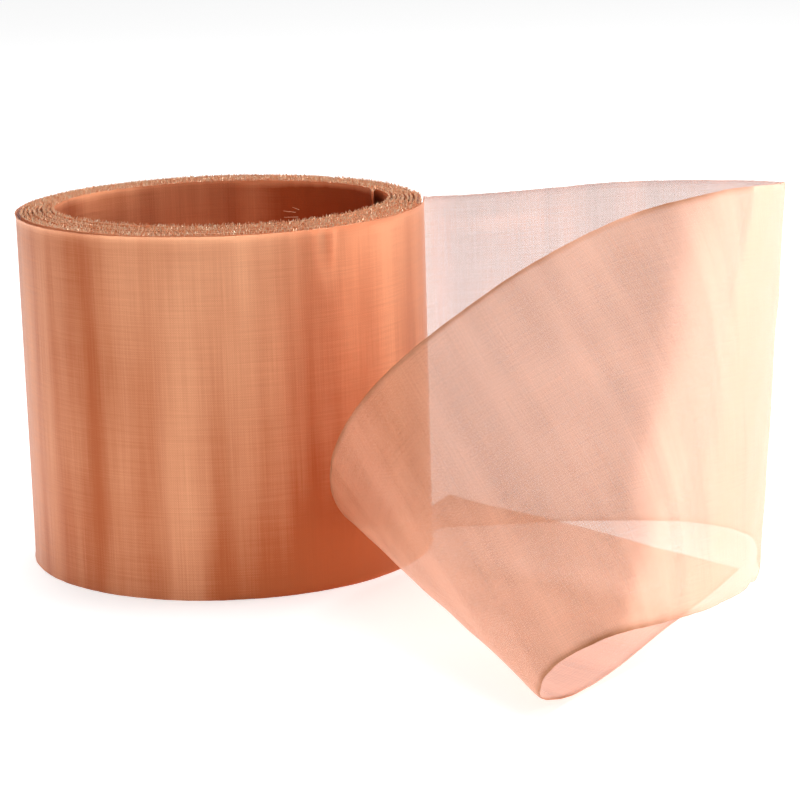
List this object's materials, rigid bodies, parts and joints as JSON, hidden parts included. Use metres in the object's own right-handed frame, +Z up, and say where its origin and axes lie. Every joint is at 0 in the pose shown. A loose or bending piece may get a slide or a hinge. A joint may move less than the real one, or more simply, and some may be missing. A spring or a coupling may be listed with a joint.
{
  "type": "copper mesh tape roll",
  "caption": "Coreless roll of woven copper wire mesh ribbon on its edge, with its outer end drawn off to one side and folded back on itself.",
  "frame": {"origin": "on the roll's axis, at the surface that the roll stands on", "axes": "+Z up along the roll's axis, +X towards the drawn-off end of the ribbon, -Y towards the side that the fold opens to"},
  "size_m": [0.2174, 0.2261, 0.1117],
  "materials": {
    "coil_mesh": "wound turns of fine woven copper wire mesh, satin, edges frayed",
    "lap_mesh": "outermost ply of woven copper mesh, satin with soft upright bands",
    "loose_mesh": "single ply of fine woven copper mesh, see-through, satin"
  },
  "bodies": {
    "coil": {"inner_end": "coil_mesh", "turn_1": "coil_mesh", "turn_2": "coil_mesh", "turn_3": "coil_mesh", "turn_4": "coil_mesh", "turn_5": "coil_mesh", "turn_6": "coil_mesh", "turn_7": "coil_mesh", "turn_8": "coil_mesh"},
    "lap": {"outer_lap": "lap_mesh", "crease": "lap_mesh"},
    "back": {"back_panel": "loose_mesh", "right_fold_back": "loose_mesh"},
    "front": {"right_fold_front": "loose_mesh", "front_panel": "loose_mesh", "lower_fold_front": "loose_mesh"},
    "end": {"lower_fold_end": "loose_mesh", "end_panel": "loose_mesh"}
  },
  "joints": [
    {"name": "draw_off", "type": "hinge", "parent": "coil", "child": "lap", "pos_m": [0, 0, 0], "axis": [0, 0, 1], "continuous": true},
    {"name": "crease_swing", "type": "hinge", "parent": "lap", "child": "back", "pos_m": [0.06374, 0.01041, 0.05], "axis": [0, 0, 1], "range_deg": [0, 40]},
    {"name": "right_fold", "type": "hinge", "parent": "back", "child": "front", "pos_m": [0.15392, -0.02428, 0.05361], "axis": [0.094, 0.2029, 0.9747], "range_deg": [0, 30]},
    {"name": "lower_fold", "type": "hinge", "parent": "front", "child": "end", "pos_m": [0.05467, -0.11865, 0.02287], "axis": [0.4623, -0.8486, -0.2574], "range_deg": [0, 8]}
  ]
}
